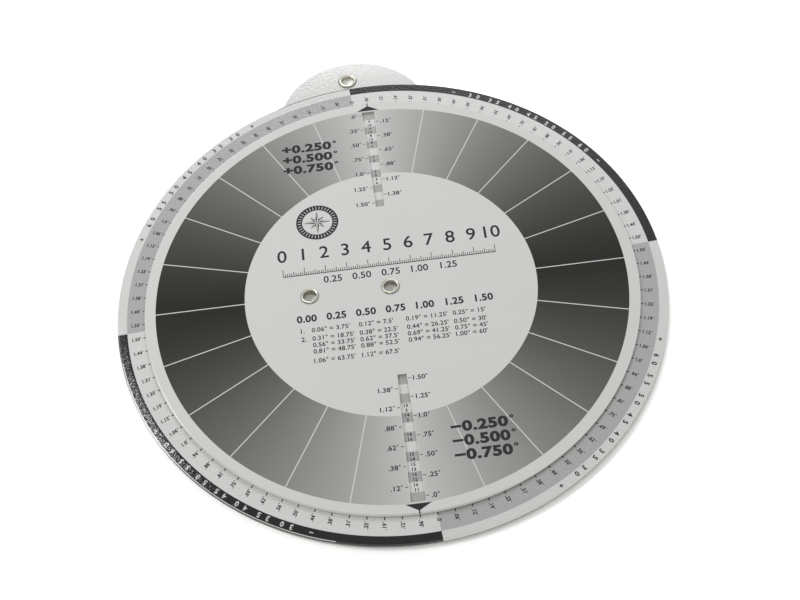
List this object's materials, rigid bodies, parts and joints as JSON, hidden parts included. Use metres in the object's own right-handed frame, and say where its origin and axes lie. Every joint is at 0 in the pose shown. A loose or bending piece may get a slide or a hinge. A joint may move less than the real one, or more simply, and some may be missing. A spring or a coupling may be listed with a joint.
{
  "type": "wheel chart",
  "caption": "Round laminated card chart with a hanging tab and a smaller windowed dial that turns on a rolled eyelet to line a pointer up with the outer scale.",
  "frame": {"origin": "on the pivot's axis, in the middle of the base card's thickness", "axes": "+Z out of the front face along the pivot, +Y to the hanging tab, +X to the right when the front is read"},
  "size_m": [0.254, 0.2718, 0.0038],
  "materials": {
    "card_board": "dense white board, plain cut edge",
    "laminate_film": "grained satin film over white print",
    "eyelet_metal": "bright nickel plate"
  },
  "bodies": {
    "base": {"base_card": "card_board", "base_front_film": "laminate_film", "base_back_film": "laminate_film", "hang_eyelet": "eyelet_metal"},
    "dial": {"front_dial_card": "card_board", "front_dial_face_film": "laminate_film", "front_dial_inner_film": "laminate_film", "back_dial_card": "card_board", "back_dial_face_film": "laminate_film", "back_dial_inner_film": "laminate_film", "pivot_eyelet": "eyelet_metal", "tie_eyelet": "eyelet_metal"}
  },
  "joints": [
    {"name": "dial_turn", "type": "hinge", "parent": "base", "child": "dial", "pos_m": [0, 0, 0], "axis": [0, 0, 1], "range_deg": [-86.33, 93.67]}
  ]
}
